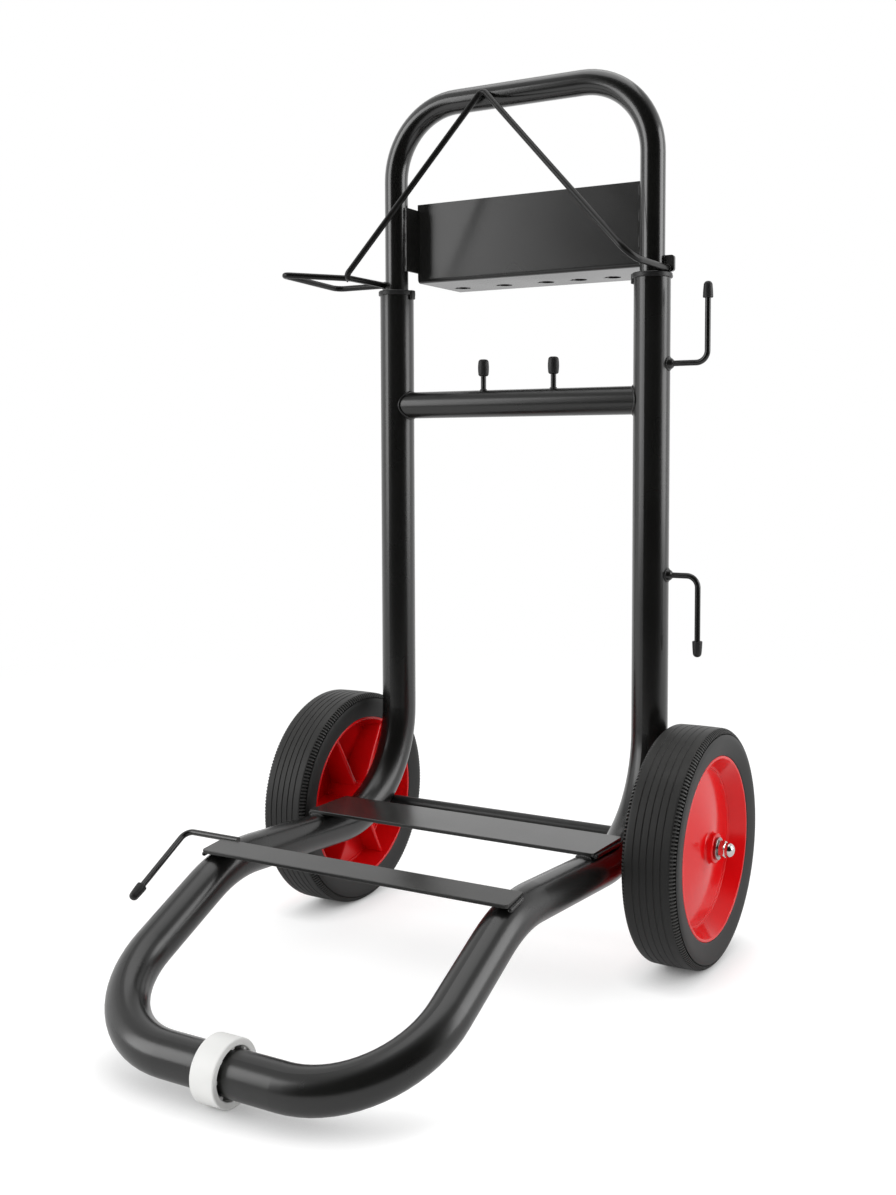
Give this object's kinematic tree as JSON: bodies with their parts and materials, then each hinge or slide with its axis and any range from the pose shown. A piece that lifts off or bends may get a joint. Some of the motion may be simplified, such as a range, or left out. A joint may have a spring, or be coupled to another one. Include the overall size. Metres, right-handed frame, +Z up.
{
  "type": "pressure washer cart",
  "caption": "Bent-tube hand cart for a pressure washer, with red wheels, a sliding U handle, a nozzle shelf, a hose hanger, a gun loop, cord hooks and pump straps.",
  "frame": {"origin": "on the floor, under the middle of the bounding box", "axes": "+X to the side of the cord hooks, -Y to the front loop, +Z up"},
  "size_m": [0.4366, 0.532, 0.7714],
  "materials": {
    "frame_paint": "black powder coat, semi-gloss",
    "handle_paint": "black powder coat, semi-gloss",
    "panel_paint": "black powder coat on sheet steel, satin",
    "strap_paint": "black powder coat on flat steel, satin",
    "axle_paint": "black painted steel bar",
    "spacer_plastic": "black moulded plastic",
    "nut_chrome": "bright plated cap nut",
    "washer_steel": "zinc plated washer",
    "rim_red": "glossy red moulded rim",
    "tyre_rubber": "black grooved tyre",
    "cap_rubber": "black rubber cap",
    "collar_plastic": "black moulded collar",
    "glide_plastic": "black moulded glide",
    "ring_plastic": "off-white moulded plastic"
  },
  "bodies": {
    "frame": {"frame_tube": "frame_paint", "cross_bar": "frame_paint", "bar_peg_left": "frame_paint", "bar_peg_right": "frame_paint", "cord_hook_upper": "frame_paint", "cord_hook_lower": "frame_paint", "lance_hook": "frame_paint", "rear_strap": "strap_paint", "front_strap": "strap_paint", "axle": "axle_paint", "wheel_spacer_left": "spacer_plastic", "wheel_spacer_right": "spacer_plastic", "axle_nut_left": "nut_chrome", "axle_nut_right": "nut_chrome", "wheel_washer_left": "washer_steel", "wheel_washer_right": "washer_steel", "bar_peg_cap_left": "cap_rubber", "bar_peg_cap_right": "cap_rubber", "cord_hook_cap_upper": "cap_rubber", "cord_hook_cap_lower": "cap_rubber", "lance_hook_cap": "cap_rubber", "collar_left": "collar_plastic", "collar_right": "collar_plastic", "foot_ring": "ring_plastic"},
    "handle": {"handle_tube": "handle_paint", "handle_glide_left": "glide_plastic", "handle_glide_right": "glide_plastic", "nozzle_panel": "panel_paint", "nozzle_shelf": "panel_paint", "hose_hanger": "handle_paint", "gun_loop": "handle_paint", "hanger_tab_left": "handle_paint", "hanger_tab_right": "handle_paint"},
    "wheel_left": {"tyre_left": "tyre_rubber", "rim_left": "rim_red"},
    "wheel_right": {"tyre_right": "tyre_rubber", "rim_right": "rim_red"}
  },
  "joints": [
    {"name": "handle_slide", "type": "slide", "parent": "frame", "child": "handle", "axis": [0, 0, 1], "range_m": [0, 0.18]},
    {"name": "wheel_left_spin", "type": "hinge", "parent": "frame", "child": "wheel_left", "pos_m": [-0.181, 0.14714, 0.1015], "axis": [1, 0, 0], "continuous": true},
    {"name": "wheel_right_spin", "type": "hinge", "parent": "frame", "child": "wheel_right", "pos_m": [0.181, 0.14714, 0.1015], "axis": [1, 0, 0], "continuous": true}
  ]
}
